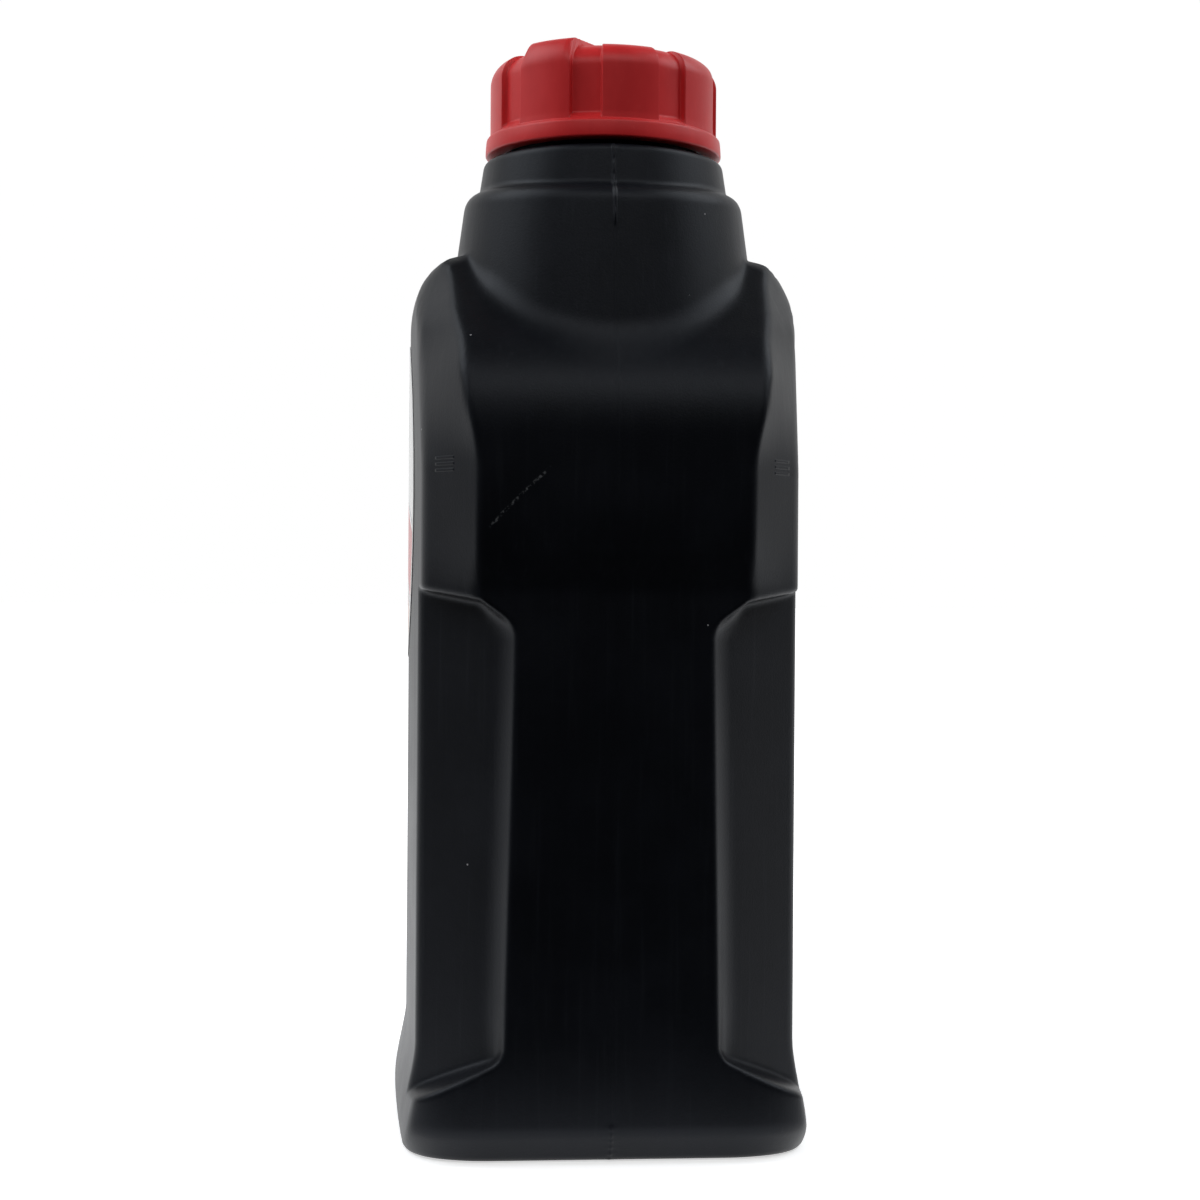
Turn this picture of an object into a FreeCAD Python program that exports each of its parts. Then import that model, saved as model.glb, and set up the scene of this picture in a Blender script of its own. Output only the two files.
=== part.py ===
import FreeCAD, Part
import math
import os

from FreeCAD import Vector

# Motor oil bottle, one litre: a blow-moulded bottle with an offset screw neck, its
# screw cap with a wad, the foil seal on the mouth, and two labels.
# Millimetres, +Z up. The origin is the centre of the base, on the surface it stands on.
# The front label faces -Y, the narrow side under the neck faces +X.

# Bottle body
WALL = 1.3                    # wall of the blown bottle
HALF_LENGTH = 57.5            # base centre to the furthest point of a narrow side
FACE_BULGE = 36.2             # half thickness at the middle of a wide face
FACE_RADIUS = 434.0           # the wide faces are arcs of this radius in plan
BASE_REACH = 52.0             # half length at the foot
PANEL_REACH = 54.4            # half length just under the crease of the narrow side
CREASE_Z = 101.5              # crease between the side panel and the shoulder
RIDGE_DROP = 2.5              # the shoulder's ridges start this far under the crease
BAND_RISE = 1.0               # and its corner bands start this far over it
SHOULDER_Z = 118.0            # middle of the shoulder's upright stretch
BODY_TOP_Z = 163.2            # top of the shoulder beside the neck
NEAR_DROP_Z = 139.5           # corner of the short shoulder under the neck, before rounding
NEAR_ROUND = 24.0
FAR_DROP_Z = 128.0            # corner of the long far shoulder, before rounding
FAR_ROUND = 15.0
UNDER_RISE = 4.0              # the bulge over the crease turns upright in two bends:
UNDER_IN = 0.9                # height over the crease, distance inside HALF_LENGTH
UNDER_ROUND = 4.0             # and radius of the first
BELLY_DROP = 6.0              # depth of the second under SHOULDER_Z
BELLY_ROUND = 9.0
NEAR_TOP_X = 15.0             # the slopes end this far from the neck's axis
NEAR_TOP_DROP = 4.6
NEAR_TOP_ROUND = 30.0
FAR_TOP_X = 18.0
FAR_TOP_ROUND = 26.0
SIDE_ROUND = 10.0             # rounding of the shoulder over a wide face
SIDE_STEP = 3.0               # height over the crease where this rounding's outline starts
SIDE_PLAY = 0.2               # that outline runs this far outside the wide faces
EDGE_ROUND = 2.4              # rounding of the upright corners

# Corner bands of the narrow sides, in plan
BAND_INNER_Y = 18.8           # half width between the bands at the panel
BAND_OUTER_X = 39.6           # where a lower band meets the wide face
BAND_REACH = 53.2             # the lower bands' inner edge, from the base centre
SHOULDER_INNER_Y = 24.0       # half distance between the ridges of the shoulder
SHOULDER_OUTER_X = 45.0       # where the shoulder's band meets the wide face
CROWN_INNER_Y = 23.0          # the same two at the top of the shoulder
CROWN_OUTER_X = 29.0
PANEL_TOP_Y = 17.4            # half width of the raised side panel, top and bottom
PANEL_FOOT_Y = 19.0
PANEL_TOP_Z = 94.6            # the panel widens to the ridges above this height

# Foot
FOOT_BULGE = 38.5             # half thickness of the foot at its middle
STAND_INNER_Y = 25.0          # half width of the stand's straight narrow side
FOOT_INNER_Y = 28.0           # the same at the foot's full section
FOOT_OUTER_X = 38.6           # where the foot's corner meets its wide side
CHAMFER = 5.6                 # height of the base chamfer
CHAMFER_IN = 4.4              # its depth
CHAMFER_PLAY = 0.6            # the narrow sides' chamfer starts this far outside BASE_REACH
CORNER_SHARE = 0.4            # part of the chamfer's depth that narrows the foot's corners
LEDGE_INNER_Z = 18.7          # ledge over the foot, at the panel
LEDGE_OUTER_Z = 8.6           # and at the corner
SWEEP_Z = 18.6                # top of the foot's sweep into a wide face
PUSH_UP = 2.4                 # height of the hollow under the base
STAND_WIDTH = 9.0             # width of the ring that the bottle stands on

# Neck, all radii about the neck's axis
NECK_X = 21.0                 # offset of the neck towards the +X side
CONE_FOOT_R = 31.0            # cone that rises out of the shoulder, from inside the body
CONE_ROOT_Z = 138.0
CONE_TOP_R = 26.3
COLLAR_H = 6.5                # collar, from the step over the cone to its top
STEP_ROUND = 2.7
COLLAR_FOOT_R = 23.5
COLLAR_TOP_R = 22.5
FINISH_H = 15.2               # threaded neck above the collar
COLLAR_ROUND = 1.4
FINISH_R = 17.4               # root of the neck's thread
MOUTH_R = 15.7                # bore of the neck
MOUTH_Z = 197.0               # sealing rim

# Thread
PITCH = 4.23
TURNS = 1.5
THREAD_DEPTH = 1.15
THREAD_FOOT = 2.1             # width of a ridge at its root
THREAD_TIP = 0.8
THREAD_GAP = 0.25             # running clearance between the threads

# Cap
CAP_GAP = 1.2                 # cap's rim above the collar
FLANGE_R = 22.3
FLANGE_DRAFT = 0.25           # the flange is this much narrower at its top
FLANGE_H = 3.5
FLANGE_ROUND = 0.4
FLANGE_FILLET = 1.6           # height of the slope from the flange up to the lobes
LOBE_R = 21.4
LOBE_COUNT = 8
LOBE_ANGLE = 29.5             # degrees that each lobe takes
LOBE_FIRST = 9.0              # direction of one lobe, from +X towards +Y
RECESS_DEPTH = 1.0            # depth of the hollows between the lobes
TOP_SHARE = 0.25              # part of it that lowers the top between the lobes
SHOULDER_IN = 4.5             # the cap's top edge is rounded over this much
SHOULDER_H = 4.4
TURN_SHARE = 0.32             # the rounding's two arcs meet at this part of its width and height
TURN_SWELL = 0.18             # swell of each arc, as a share of half its chord
CAP_TOP_WALL = 2.6
BAR_WIDTH = 9.5               # raised bar across the cap's top
BAR_HEIGHT = 1.3
BAR_TURN = -36.0              # its direction
LINER_T = 1.0
LINER_PLAY = 0.3
FOIL_T = 0.15

# Labels
LABEL_T = 0.15
GLUE_T = 0.04                 # glue under a label
LABEL_Z = 118.6               # middle of the oval label
LABEL_HALF_LENGTH = 28.0
LABEL_HALF_HEIGHT = 30.6

OVER = 5.0                    # how far helping shapes run past the surfaces they cut or join

# Worked out from the sizes above
SPAN = HALF_LENGTH + OVER
COLLAR_TOP_Z = MOUTH_Z - FINISH_H
STEP_Z = COLLAR_TOP_Z - COLLAR_H
CAP_FOOT_Z = COLLAR_TOP_Z + CAP_GAP
WAD_FOOT_Z = MOUTH_Z + FOIL_T
CAP_CEILING_Z = WAD_FOOT_Z + LINER_T
CAP_TOP_Z = CAP_CEILING_Z + CAP_TOP_WALL
CAP_BORE_R = FINISH_R + THREAD_DEPTH + THREAD_GAP
ROUND_CORNER = 1 - math.sqrt(2)   # the swell of an arc that rounds a square corner
NECK = Vector(NECK_X, 0, 0)
UP = Vector(0, 0, 1)


def face_of(edges):
    """A flat face inside a closed run of edges."""
    return Part.Face(Part.Wire(Part.__sortEdges__(edges)))


def polygon(points):
    """The edges of a closed polygon."""
    return Part.makePolygon(points + [points[0]]).Edges


def shrunk(face, inset):
    """A flat face with its outline moved inwards."""
    return face.makeOffset2D(-inset, 2) if inset else face


def half_planes(sides):
    """Corners of a convex outline from its sides, each an angle and a distance."""
    corners = []
    for (a, p), (b, q) in zip(sides, sides[1:] + sides[:1]):
        a, b = math.radians(a), math.radians(b)
        turn = math.sin(b - a)
        corners.append(((p * math.sin(b) - q * math.sin(a)) / turn,
                        (q * math.cos(a) - p * math.cos(b)) / turn))
    return corners


def face_y(x, bulge):
    """Half thickness of the body at x, on the arc of a wide face."""
    return bulge - FACE_RADIUS + math.sqrt(FACE_RADIUS ** 2 - x * x)


def plan(reach, inner_y, outer_x, bulge, inset, z):
    """Plan outline at one height: narrow sides, corner bands and bulged wide faces."""
    outer_y = face_y(outer_x, bulge)
    slope = math.atan2(reach - outer_x, outer_y - inner_y)
    band = reach * math.cos(slope) + inner_y * math.sin(slope)
    angle = math.degrees(slope)
    beyond = bulge + OVER
    sides = [(0, reach - inset), (angle, band - inset), (90, beyond)]
    far = [(180 - angle, band - inset), (180, reach - inset), (180 + angle, band - inset)]
    near = [(270, beyond), (360 - angle, band - inset)]
    return [Vector(x, y, z) for x, y in half_planes(sides + far + near)]


def wide_faces(bulge, inset, z0, z1):
    """The slab between the two bulged wide faces."""
    y_mid = bulge - inset
    y_end = face_y(SPAN, bulge) - inset
    front = Part.Arc(Vector(-SPAN, -y_end, z0), Vector(0, -y_mid, z0), Vector(SPAN, -y_end, z0))
    back = Part.Arc(Vector(-SPAN, y_end, z0), Vector(0, y_mid, z0), Vector(SPAN, y_end, z0))
    left = Part.makeLine(Vector(-SPAN, -y_end, z0), Vector(-SPAN, y_end, z0))
    right = Part.makeLine(Vector(SPAN, -y_end, z0), Vector(SPAN, y_end, z0))
    slab = face_of([front.toShape(), back.toShape(), left, right])
    return slab.extrude(UP * (z1 - z0))


def block(height, z):
    """A box wider than the bottle, from z up."""
    return Part.makeBox(2 * SPAN, 2 * SPAN, height, Vector(-SPAN, -SPAN, z))


def upright(solid, bulge, radius):
    """Rounds the upright corners where the bands meet the wide faces."""
    corners = []
    for edge in solid.Edges:
        a, b = edge.Vertexes[0].Point, edge.Vertexes[-1].Point
        rises = abs(b.z - a.z) > 0.9 * edge.Length
        mid = (a + b) * 0.5
        outside = abs(abs(mid.y) - face_y(mid.x, bulge)) < 0.5
        if rises and outside:
            corners.append(edge)
    return solid.makeFillet(radius, corners)


def side_mask(inset):
    """Seen from a narrow side: foot, raised middle panel and shoulder."""
    wide = FOOT_BULGE + OVER
    band = CREASE_Z + BAND_RISE
    half = [(wide, -1.0), (wide, LEDGE_OUTER_Z), (PANEL_FOOT_Y, LEDGE_INNER_Z),
            (PANEL_TOP_Y, PANEL_TOP_Z), (SHOULDER_INNER_Y, CREASE_Z - RIDGE_DROP),
            (wide, band), (wide, band + OVER)]
    points = [Vector(0, y, z) for y, z in half]
    points += [Vector(0, -y, z) for y, z in reversed(half)]
    face = shrunk(face_of(polygon(points)), inset)
    face.translate(Vector(-SPAN, 0, 0))
    return face.extrude(Vector(2 * SPAN, 0, 0))


def rounded(corners, place):
    """Edges of a closed outline of (a, b, radius) corners, each rounded by an arc."""
    edges = []
    ends = []
    count = len(corners)
    for i, (a, b, radius) in enumerate(corners):
        here = Vector(a, b, 0)
        back = Vector(*corners[i - 1][:2], 0) - here
        ahead = Vector(*corners[(i + 1) % count][:2], 0) - here
        back.normalize()
        ahead.normalize()
        half = back.getAngle(ahead) / 2
        reach = radius / math.tan(half)
        middle = back + ahead
        middle.normalize()
        mid = here + middle * (radius / math.sin(half) - radius)
        ends.append((here + back * reach, mid, here + ahead * reach, radius))
    for (first, mid, last, radius), following in zip(ends, ends[1:] + ends[:1]):
        if radius:
            edges.append(Part.Arc(place(first), place(mid), place(last)).toShape())
        edges.append(Part.makeLine(place(last), place(following[0])))
    return edges


def front_outline(inset):
    """Seen from a wide face: leaning sides, crease, upright shoulder and both slopes."""
    side = HALF_LENGTH
    top = BODY_TOP_Z
    under = (side - UNDER_IN, CREASE_Z + UNDER_RISE, UNDER_ROUND)
    belly = (side, SHOULDER_Z - BELLY_DROP, BELLY_ROUND)
    near = [(PANEL_REACH, CREASE_Z, 0), under, belly, (side, NEAR_DROP_Z, NEAR_ROUND),
            (NECK_X + NEAR_TOP_X, top - NEAR_TOP_DROP, NEAR_TOP_ROUND), (NECK_X, top, 0)]
    far = [(NECK_X - FAR_TOP_X, top, FAR_TOP_ROUND), (-side, FAR_DROP_Z, FAR_ROUND)]
    far += [(-x, z, radius) for x, z, radius in (belly, under)] + [(-PANEL_REACH, CREASE_Z, 0)]
    foot = [(-BASE_REACH, -1.0, 0), (BASE_REACH, -1.0, 0)]
    edges = rounded(near + far + foot, lambda p: Vector(p.x, 0, p.y))
    face = shrunk(face_of(edges), inset)
    span = FOOT_BULGE + OVER
    face.translate(Vector(0, -span, 0))
    return face.extrude(Vector(0, 2 * span, 0))


def side_outline(inset):
    """Seen from a narrow side: upright wide faces that round over to the neck."""
    y = FOOT_BULGE + 1.0
    face = FACE_BULGE + SIDE_PLAY
    top = BODY_TOP_Z
    half = [(y, -1.0, 0), (y, CREASE_Z, 0), (face, CREASE_Z + SIDE_STEP, 0), (face, top, SIDE_ROUND)]
    corners = half + [(-a, b, r) for a, b, r in reversed(half)]
    outline = shrunk(face_of(rounded(corners, lambda p: Vector(0, p.x, p.y))), inset)
    outline.translate(Vector(-SPAN, 0, 0))
    return outline.extrude(Vector(2 * SPAN, 0, 0))


def loft(outlines):
    """A solid with straight sides between polygons at several heights."""
    wires = [Part.makePolygon(points + [points[0]]) for points in outlines]
    return Part.makeLoft(wires, True, True)


def lower_core(inset, z0, z1):
    """Lower body inside the recess that runs round its wide faces and corners."""
    args = (BAND_REACH, BAND_INNER_Y, BAND_OUTER_X, FACE_BULGE, inset)
    core = loft([plan(*args, z0), plan(*args, z1)])
    core = core.common(wide_faces(FACE_BULGE, inset, z0, z1))
    return core if inset else upright(core, FACE_BULGE, EDGE_ROUND)


def foot_block(inset, z0, z1):
    """Full section of the foot, chamfered round its lower edge."""
    args = (HALF_LENGTH, FOOT_INNER_Y, FOOT_OUTER_X, FOOT_BULGE, inset)
    solid = loft([plan(*args, z0), plan(*args, z1)])
    solid = solid.common(wide_faces(FOOT_BULGE, inset, z0, z1))
    return solid if inset else upright(solid, FOOT_BULGE, EDGE_ROUND)


def base_taper(inset):
    """Inverted pyramid that limits the foot to its chamfer, carried on up past the body."""
    def level(z):
        shift = CHAMFER_IN * (1 - z / CHAMFER)
        reach = BASE_REACH + CHAMFER_PLAY - shift
        inner = FOOT_INNER_Y - CORNER_SHARE * shift
        return plan(reach, inner, FOOT_OUTER_X - shift, FOOT_BULGE, inset, z)

    top = 2.5 * CHAMFER
    cone = loft([level(0.0), level(top)])
    flat = FOOT_BULGE - CHAMFER_IN - inset
    flare = flat + top * CHAMFER_IN / CHAMFER
    ends = [(-flat, 0.0), (flat, 0.0), (flare, top), (-flare, top)]
    side = face_of(polygon([Vector(-SPAN, y, z) for y, z in ends]))
    return cone.common(side.extrude(Vector(2 * SPAN, 0, 0)))


def shoulder(inset):
    """Shoulder with its corner bands, which draw in towards the top."""
    args = (SHOULDER_INNER_Y, SHOULDER_OUTER_X, FACE_BULGE, inset)
    foot = CREASE_Z - OVER
    low = plan(HALF_LENGTH, *args, foot)
    mid = plan(HALF_LENGTH, *args, SHOULDER_Z + OVER)
    top = plan(HALF_LENGTH, CROWN_INNER_Y, CROWN_OUTER_X, FACE_BULGE, inset, BODY_TOP_Z + 1.0)
    slab = wide_faces(FACE_BULGE, inset, foot, BODY_TOP_Z + 1.0)
    solid = loft([low, mid, top]).common(slab)
    return solid if inset else upright(solid, FACE_BULGE, EDGE_ROUND)


def foot_sweep(inset):
    """The foot's gentle sweep up into each wide face, between the corner bands."""
    reach = BAND_OUTER_X - 1.0 - inset
    depth = FACE_BULGE - OVER
    wedges = []
    for sign in (1, -1):
        outline = []
        for x in (-reach, reach):
            rise = face_y(x, 0.0)
            low = Vector(x, sign * (FOOT_BULGE + rise - inset), LEDGE_OUTER_Z - 2.0)
            high = Vector(x, sign * (FACE_BULGE + rise - inset - 0.05), SWEEP_Z)
            root = Vector(x, sign * depth, SWEEP_Z)
            floor = Vector(x, sign * depth, low.z)
            outline.append(Part.makePolygon([low, high, root, floor, low]))
        wedges.append(Part.makeLoft(outline, True, True))
    return wedges


def lower_body(inset):
    """Foot, recessed wall and raised side panels, up to the crease."""
    top = CREASE_Z + inset
    bottom = inset
    mid = LEDGE_INNER_Z + OVER
    args = (HALF_LENGTH, SHOULDER_INNER_Y, SHOULDER_OUTER_X, FACE_BULGE, inset)
    panel = loft([plan(*args, mid - 1.0), plan(*args, top)])
    panel = panel.common(wide_faces(FACE_BULGE, inset, mid - 1.0, top))
    raised = foot_block(inset, bottom, mid).fuse(panel).common(side_mask(inset))
    body = lower_core(inset, bottom + 1.0, top).fuse([raised] + foot_sweep(inset))
    taper = base_taper(inset)
    low = block(2.0 * CHAMFER - bottom, bottom)
    return body.cut(low.cut(taper))


def body_form(inset):
    """The whole body without its neck; an inset gives the hollow inside the wall."""
    upper = shoulder(inset).common(
        block(BODY_TOP_Z, CREASE_Z + inset))
    body = lower_body(inset).fuse(upper)
    return body.common(front_outline(inset)).common(side_outline(inset))


def revolved(profile):
    """A turned solid about the neck's axis from (radius, height) points or arcs."""
    edges = []
    for a, b in zip(profile, profile[1:] + profile[:1]):
        start = Vector(a[0], 0, a[1])
        end = Vector(b[0], 0, b[1])
        if len(b) == 3:
            edges.append(bulged(start, end, b[2]))
        else:
            edges.append(Part.makeLine(start, end))
    solid = face_of(edges).revolve(Vector(0, 0, 0), UP, 360)
    solid.translate(NECK)
    return solid


def bulged(start, end, bulge):
    """An arc from start to end that swells out by a share of half its chord."""
    chord = end - start
    side = Vector(chord.z, 0, -chord.x)
    mid = (start + end) * 0.5 + side * (0.5 * bulge)
    return Part.Arc(start, mid, end).toShape()


def neck_form(inset):
    """Cone, stepped collar and the neck's own tube; an inset gives their hollow."""
    root = CONE_ROOT_Z + inset
    step = STEP_Z - inset
    collar = COLLAR_TOP_Z - inset
    cone_r = CONE_TOP_R - inset
    rim_r = COLLAR_TOP_R - inset
    tube_r = MOUTH_R if inset else FINISH_R
    end = MOUTH_Z + inset
    return revolved([
        (0, root), (CONE_FOOT_R - inset, root), (cone_r, step - STEP_ROUND),
        (cone_r - STEP_ROUND, step, ROUND_CORNER), (COLLAR_FOOT_R - inset, step),
        (rim_r, collar - COLLAR_ROUND), (rim_r - COLLAR_ROUND, collar, ROUND_CORNER),
        (tube_r, collar), (tube_r, end), (0, end)])


def thread(radius, depth, z, overlap):
    """A ridge wound along the thread; a negative depth makes it face inwards."""
    height = PITCH * TURNS
    path = Part.makeHelix(PITCH, height, radius)
    foot, tip = THREAD_FOOT / 2, THREAD_TIP / 2
    r0, r1 = radius - overlap, radius + depth
    points = [Vector(r0, 0, -foot), Vector(r0, 0, foot), Vector(r1, 0, tip), Vector(r1, 0, -tip)]
    section = Part.makePolygon(points + [points[0]])
    ridge = Part.Wire(path.Edges).makePipeShell([section], True, True)
    ridge.translate(NECK + UP * z)
    return ridge


def push_up(grow):
    """Hollow under the base, inside the ring that the bottle stands on."""
    inset = CHAMFER_IN + STAND_WIDTH - grow
    args = (STAND_INNER_Y, FOOT_OUTER_X, FOOT_BULGE)
    low = plan(BASE_REACH, *args, inset, -1.0)
    high = plan(BASE_REACH, *args, inset + PUSH_UP, PUSH_UP + grow)
    flat = FOOT_BULGE - inset
    slab = Part.makeBox(2 * SPAN, 2 * flat, 2 * OVER, Vector(-SPAN, -flat, -1.0))
    return loft([low, high]).common(slab)


def bottle():
    """One blown shell with its threaded neck."""
    outside = body_form(0).fuse(neck_form(0))
    hollow = body_form(WALL).fuse(neck_form(WALL)).cut(push_up(WALL))
    shell = outside.cut(hollow).cut(push_up(0))
    ridge = thread(FINISH_R, THREAD_DEPTH, MOUTH_Z - PITCH * TURNS - THREAD_FOOT, 0.3)
    return shell.fuse(ridge)


def cap_profile(shift, rise):
    """Turned outline of the cap's wall, moved in by a shift and up by a rise."""
    r = LOBE_R - shift
    top = CAP_TOP_Z - TOP_SHARE * shift + rise
    foot = CAP_FOOT_Z + FLANGE_H
    return [(0, foot - 1), (r, foot - 1), (r, top - SHOULDER_H),
            (r - TURN_SHARE * SHOULDER_IN, top - TURN_SHARE * SHOULDER_H, -TURN_SWELL),
            (r - SHOULDER_IN, top, -TURN_SWELL), (0, top)]


def sector(angle, width):
    """A wedge about the neck's axis, as wide as a lobe."""
    far = 2 * LOBE_R
    half = math.radians(width / 2)
    points = [Vector(0, 0, 0), Vector(far, -far * math.tan(half), 0), Vector(far, far * math.tan(half), 0)]
    wedge = face_of(polygon(points)).extrude(UP * 60)
    wedge.rotate(Vector(0, 0, 0), UP, angle)
    wedge.translate(NECK + UP * (CAP_FOOT_Z - 10))
    return wedge


def cap():
    """Moulded cap: lobes, flange, raised bar and inner thread."""
    core = revolved(cap_profile(RECESS_DEPTH, 0.0))
    full = revolved(cap_profile(0.0, 0.0))
    step = 360.0 / LOBE_COUNT
    lobes = [full.common(sector(LOBE_FIRST + step * i, LOBE_ANGLE)) for i in range(LOBE_COUNT)]
    rim = FLANGE_R - FLANGE_DRAFT
    ledge = CAP_FOOT_Z + FLANGE_H
    root = LOBE_R - RECESS_DEPTH
    flange = revolved([
        (0, CAP_FOOT_Z), (FLANGE_R, CAP_FOOT_Z), (rim, ledge - FLANGE_ROUND),
        (rim - FLANGE_ROUND, ledge, ROUND_CORNER), (root, ledge + FLANGE_FILLET),
        (0, ledge + FLANGE_FILLET)])
    length = 2 * FLANGE_R
    bar = Part.makeBox(length, BAR_WIDTH, 40, Vector(-length / 2, -BAR_WIDTH / 2, 0))
    bar.rotate(Vector(0, 0, 0), UP, BAR_TURN)
    bar.translate(NECK + UP * CAP_FOOT_Z)
    bar = bar.common(revolved(cap_profile(0.0, BAR_HEIGHT)))
    solid = core.fuse(lobes + [flange, bar])
    bore = revolved([(0, CAP_FOOT_Z - 1), (CAP_BORE_R, CAP_FOOT_Z - 1), (CAP_BORE_R, CAP_CEILING_Z),
                     (0, CAP_CEILING_Z)])
    ridge_z = MOUTH_Z - PITCH * TURNS - THREAD_FOOT - PITCH / 2
    ridge = thread(CAP_BORE_R, -THREAD_DEPTH, ridge_z, -0.3)
    return solid.cut(bore).fuse(ridge)


def disc(radius, z, thickness):
    return revolved([(0, z), (radius, z), (radius, z + thickness), (0, z + thickness)])


def foil_seal():
    """Foil welded over the mouth."""
    return disc(FINISH_R - 0.2, MOUTH_Z, FOIL_T)


def cap_liner():
    """Wad pressed under the cap's ceiling."""
    return disc(CAP_BORE_R - LINER_PLAY, CAP_CEILING_Z - LINER_T, LINER_T)


def label(sign):
    """A thin oval label on one wide face."""
    bottom = LABEL_Z - LABEL_HALF_HEIGHT - OVER
    top = LABEL_Z + LABEL_HALF_HEIGHT + OVER
    skin = wide_faces(FACE_BULGE, -LABEL_T - GLUE_T, bottom, top)
    skin = skin.cut(wide_faces(FACE_BULGE, -GLUE_T, bottom - 1, top + 1))
    long_end = Vector(0, 0, LABEL_Z + LABEL_HALF_HEIGHT)
    side_end = Vector(LABEL_HALF_LENGTH, 0, LABEL_Z)
    oval = Part.Ellipse(long_end, side_end, Vector(0, 0, LABEL_Z)).toShape()
    patch = Part.Face(Part.Wire([oval])).extrude(Vector(0, sign * SPAN, 0))
    return skin.common(patch)


def one_solid(shape):
    """The single solid of a joined shape."""
    solids = shape.removeSplitter().Solids
    if len(solids) != 1 or not solids[0].isValid():
        raise ValueError("a piece came out as %d solids" % len(solids))
    return solids[0]


PIECES = {
    "bottle": bottle,
    "foil_seal": foil_seal,
    "cap": cap,
    "cap_liner": cap_liner,
    "front_label": lambda: label(-1),
    "back_label": lambda: label(1),
}

os.makedirs("parts", exist_ok=True)
for name, make in PIECES.items():
    piece = one_solid(make())
    piece.exportStep("parts/" + name + ".step")
    print(name, round(piece.Volume, 1), "cubic millimetres")
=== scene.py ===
import math

import bpy
import numpy as np
from mathutils import Matrix, Vector


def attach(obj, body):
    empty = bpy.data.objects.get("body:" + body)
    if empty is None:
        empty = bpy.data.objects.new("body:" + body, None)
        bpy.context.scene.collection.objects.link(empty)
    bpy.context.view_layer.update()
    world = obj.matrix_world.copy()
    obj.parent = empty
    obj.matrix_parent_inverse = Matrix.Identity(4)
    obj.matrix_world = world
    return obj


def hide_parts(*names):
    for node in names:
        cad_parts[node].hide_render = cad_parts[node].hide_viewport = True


# A one litre motor oil bottle with its lobed screw cap, seen from the narrow side under
# the neck. Shapes are worked out in millimetres and put into meshes in metres; finishes
# and the studio are in metres.

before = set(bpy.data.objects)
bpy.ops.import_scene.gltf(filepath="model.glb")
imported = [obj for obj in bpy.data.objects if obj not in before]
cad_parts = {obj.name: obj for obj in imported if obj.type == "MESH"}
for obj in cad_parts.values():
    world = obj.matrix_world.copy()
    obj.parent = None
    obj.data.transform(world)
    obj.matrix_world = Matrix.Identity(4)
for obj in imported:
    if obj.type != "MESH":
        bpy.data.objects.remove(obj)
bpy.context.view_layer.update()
MM = 0.001
NECK_X = 21.0

# Meshes


def piece(name, points, body, node, finish):
    """A closed skin through a grid of points, rows by columns.

    Each row is a loop whose last point joins its first, and the rows run in the direction
    that makes (along a row) x (from row to row) point outwards. The first and the last row
    are each a single place, from which triangles fan out; between them the skin is quads.
    """
    rows, cols = points.shape[:2]
    index = 1 + np.arange((rows - 2) * cols).reshape(rows - 2, cols)
    ring = np.roll(index, -1, axis=1)
    first, last = np.zeros(cols, int), np.full(cols, index[-1, -1] + 1)
    quads = np.stack([index[:-1], ring[:-1], ring[1:], index[1:]], axis=-1).reshape(-1, 4)
    start_fan = np.stack([first, index[0], ring[0]], axis=-1)
    end_fan = np.stack([index[-1], ring[-1], last], axis=-1)
    corners = np.concatenate([points[0, :1], points[1:-1].reshape(-1, 3), points[-1, :1]])
    mesh = bpy.data.meshes.new(name)
    mesh.from_pydata((corners * MM).tolist(), [], quads.tolist() + start_fan.tolist() + end_fan.tolist())
    mesh.update()
    mesh.shade_smooth()
    made = bpy.data.objects.new(name, mesh)
    bpy.context.scene.collection.objects.link(made)
    mesh.materials.append(finish)
    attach(made, body)
    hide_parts(node)
    return made


def steps(*runs):
    """One rising list from (start, end, count) runs that share their ends."""
    parts = [np.linspace(a, b, n, endpoint=False) for a, b, n in runs]
    return np.concatenate(parts + [[runs[-1][1]]])


def ease(t):
    """0 below 0, 1 above 1, and 3t^2 - 2t^3 in between."""
    t = np.clip(t, 0.0, 1.0)
    return t * t * (3 - 2 * t)


def soft_max(a, b, width):
    """The larger of two fields. Where they differ by less than the width, a parabola eases
    one into the other, a quarter of the width above their meeting."""
    h = np.clip(0.5 + 0.5 * (a - b) / width, 0.0, 1.0)
    return b + (a - b) * h + width * h * (1 - h)


def soft_min(a, b, width):
    """The smaller of two fields, eased in the same way."""
    return -soft_max(-a, -b, width)


def bend(z, at, change, width):
    """A line that lies flat below `at` and rises by `change` a millimetre above it; the
    turn is the hyperbola half of (t + sqrt(t^2 + width^2))."""
    t = z - at
    return 0.5 * change * (t + np.sqrt(t * t + width * width))


# The blown bottle

FACE_BULGE, FACE_RADIUS = 36.2, 434.0
FOOT_BULGE, FOOT_REACH, REACH = 38.5, 52.0, 57.5
WALL = 1.3
# narrow sides: how they lean out, the middle panel, its ledge below and its brow above
END_LEAN = 0.0236
PANEL_HALF, PANEL_TAPER, PANEL_HEIGHT = 18.9, 1.6, 75.9
LEDGE_Z, BROW_Z, SHOULDER_Z, TOP_Z = 18.7, 94.9, 101.6, 163.2
# slopes of the shoulder: the outward direction (x, z) and the height at full reach
NEAR_SLOPE, NEAR_Z = (0.664, 0.748), 139.5
FAR_SLOPE, FAR_Z = (-0.503, 0.864), 128.0
# cone, step, collar, neck and thread round the axis at NECK_X
CONE_R, CONE_Z, CONE_TAPER = 31.0, 138.0, 0.1358
STEP_Z, STEP_LIFT = 174.0, 1.6
COLLAR_R, COLLAR_TOP = 23.5, 181.8
NECK_R, BORE_R, MOUTH_Z = 17.4, 15.7, 197.0
PITCH, TURNS, RIDGE, THREAD_Z = 4.23, 1.5, 1.15, 188.555
# rays that find the skin: level over the body, climbing to this angle under the neck
RAY_TILT = math.radians(40.0)


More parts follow.
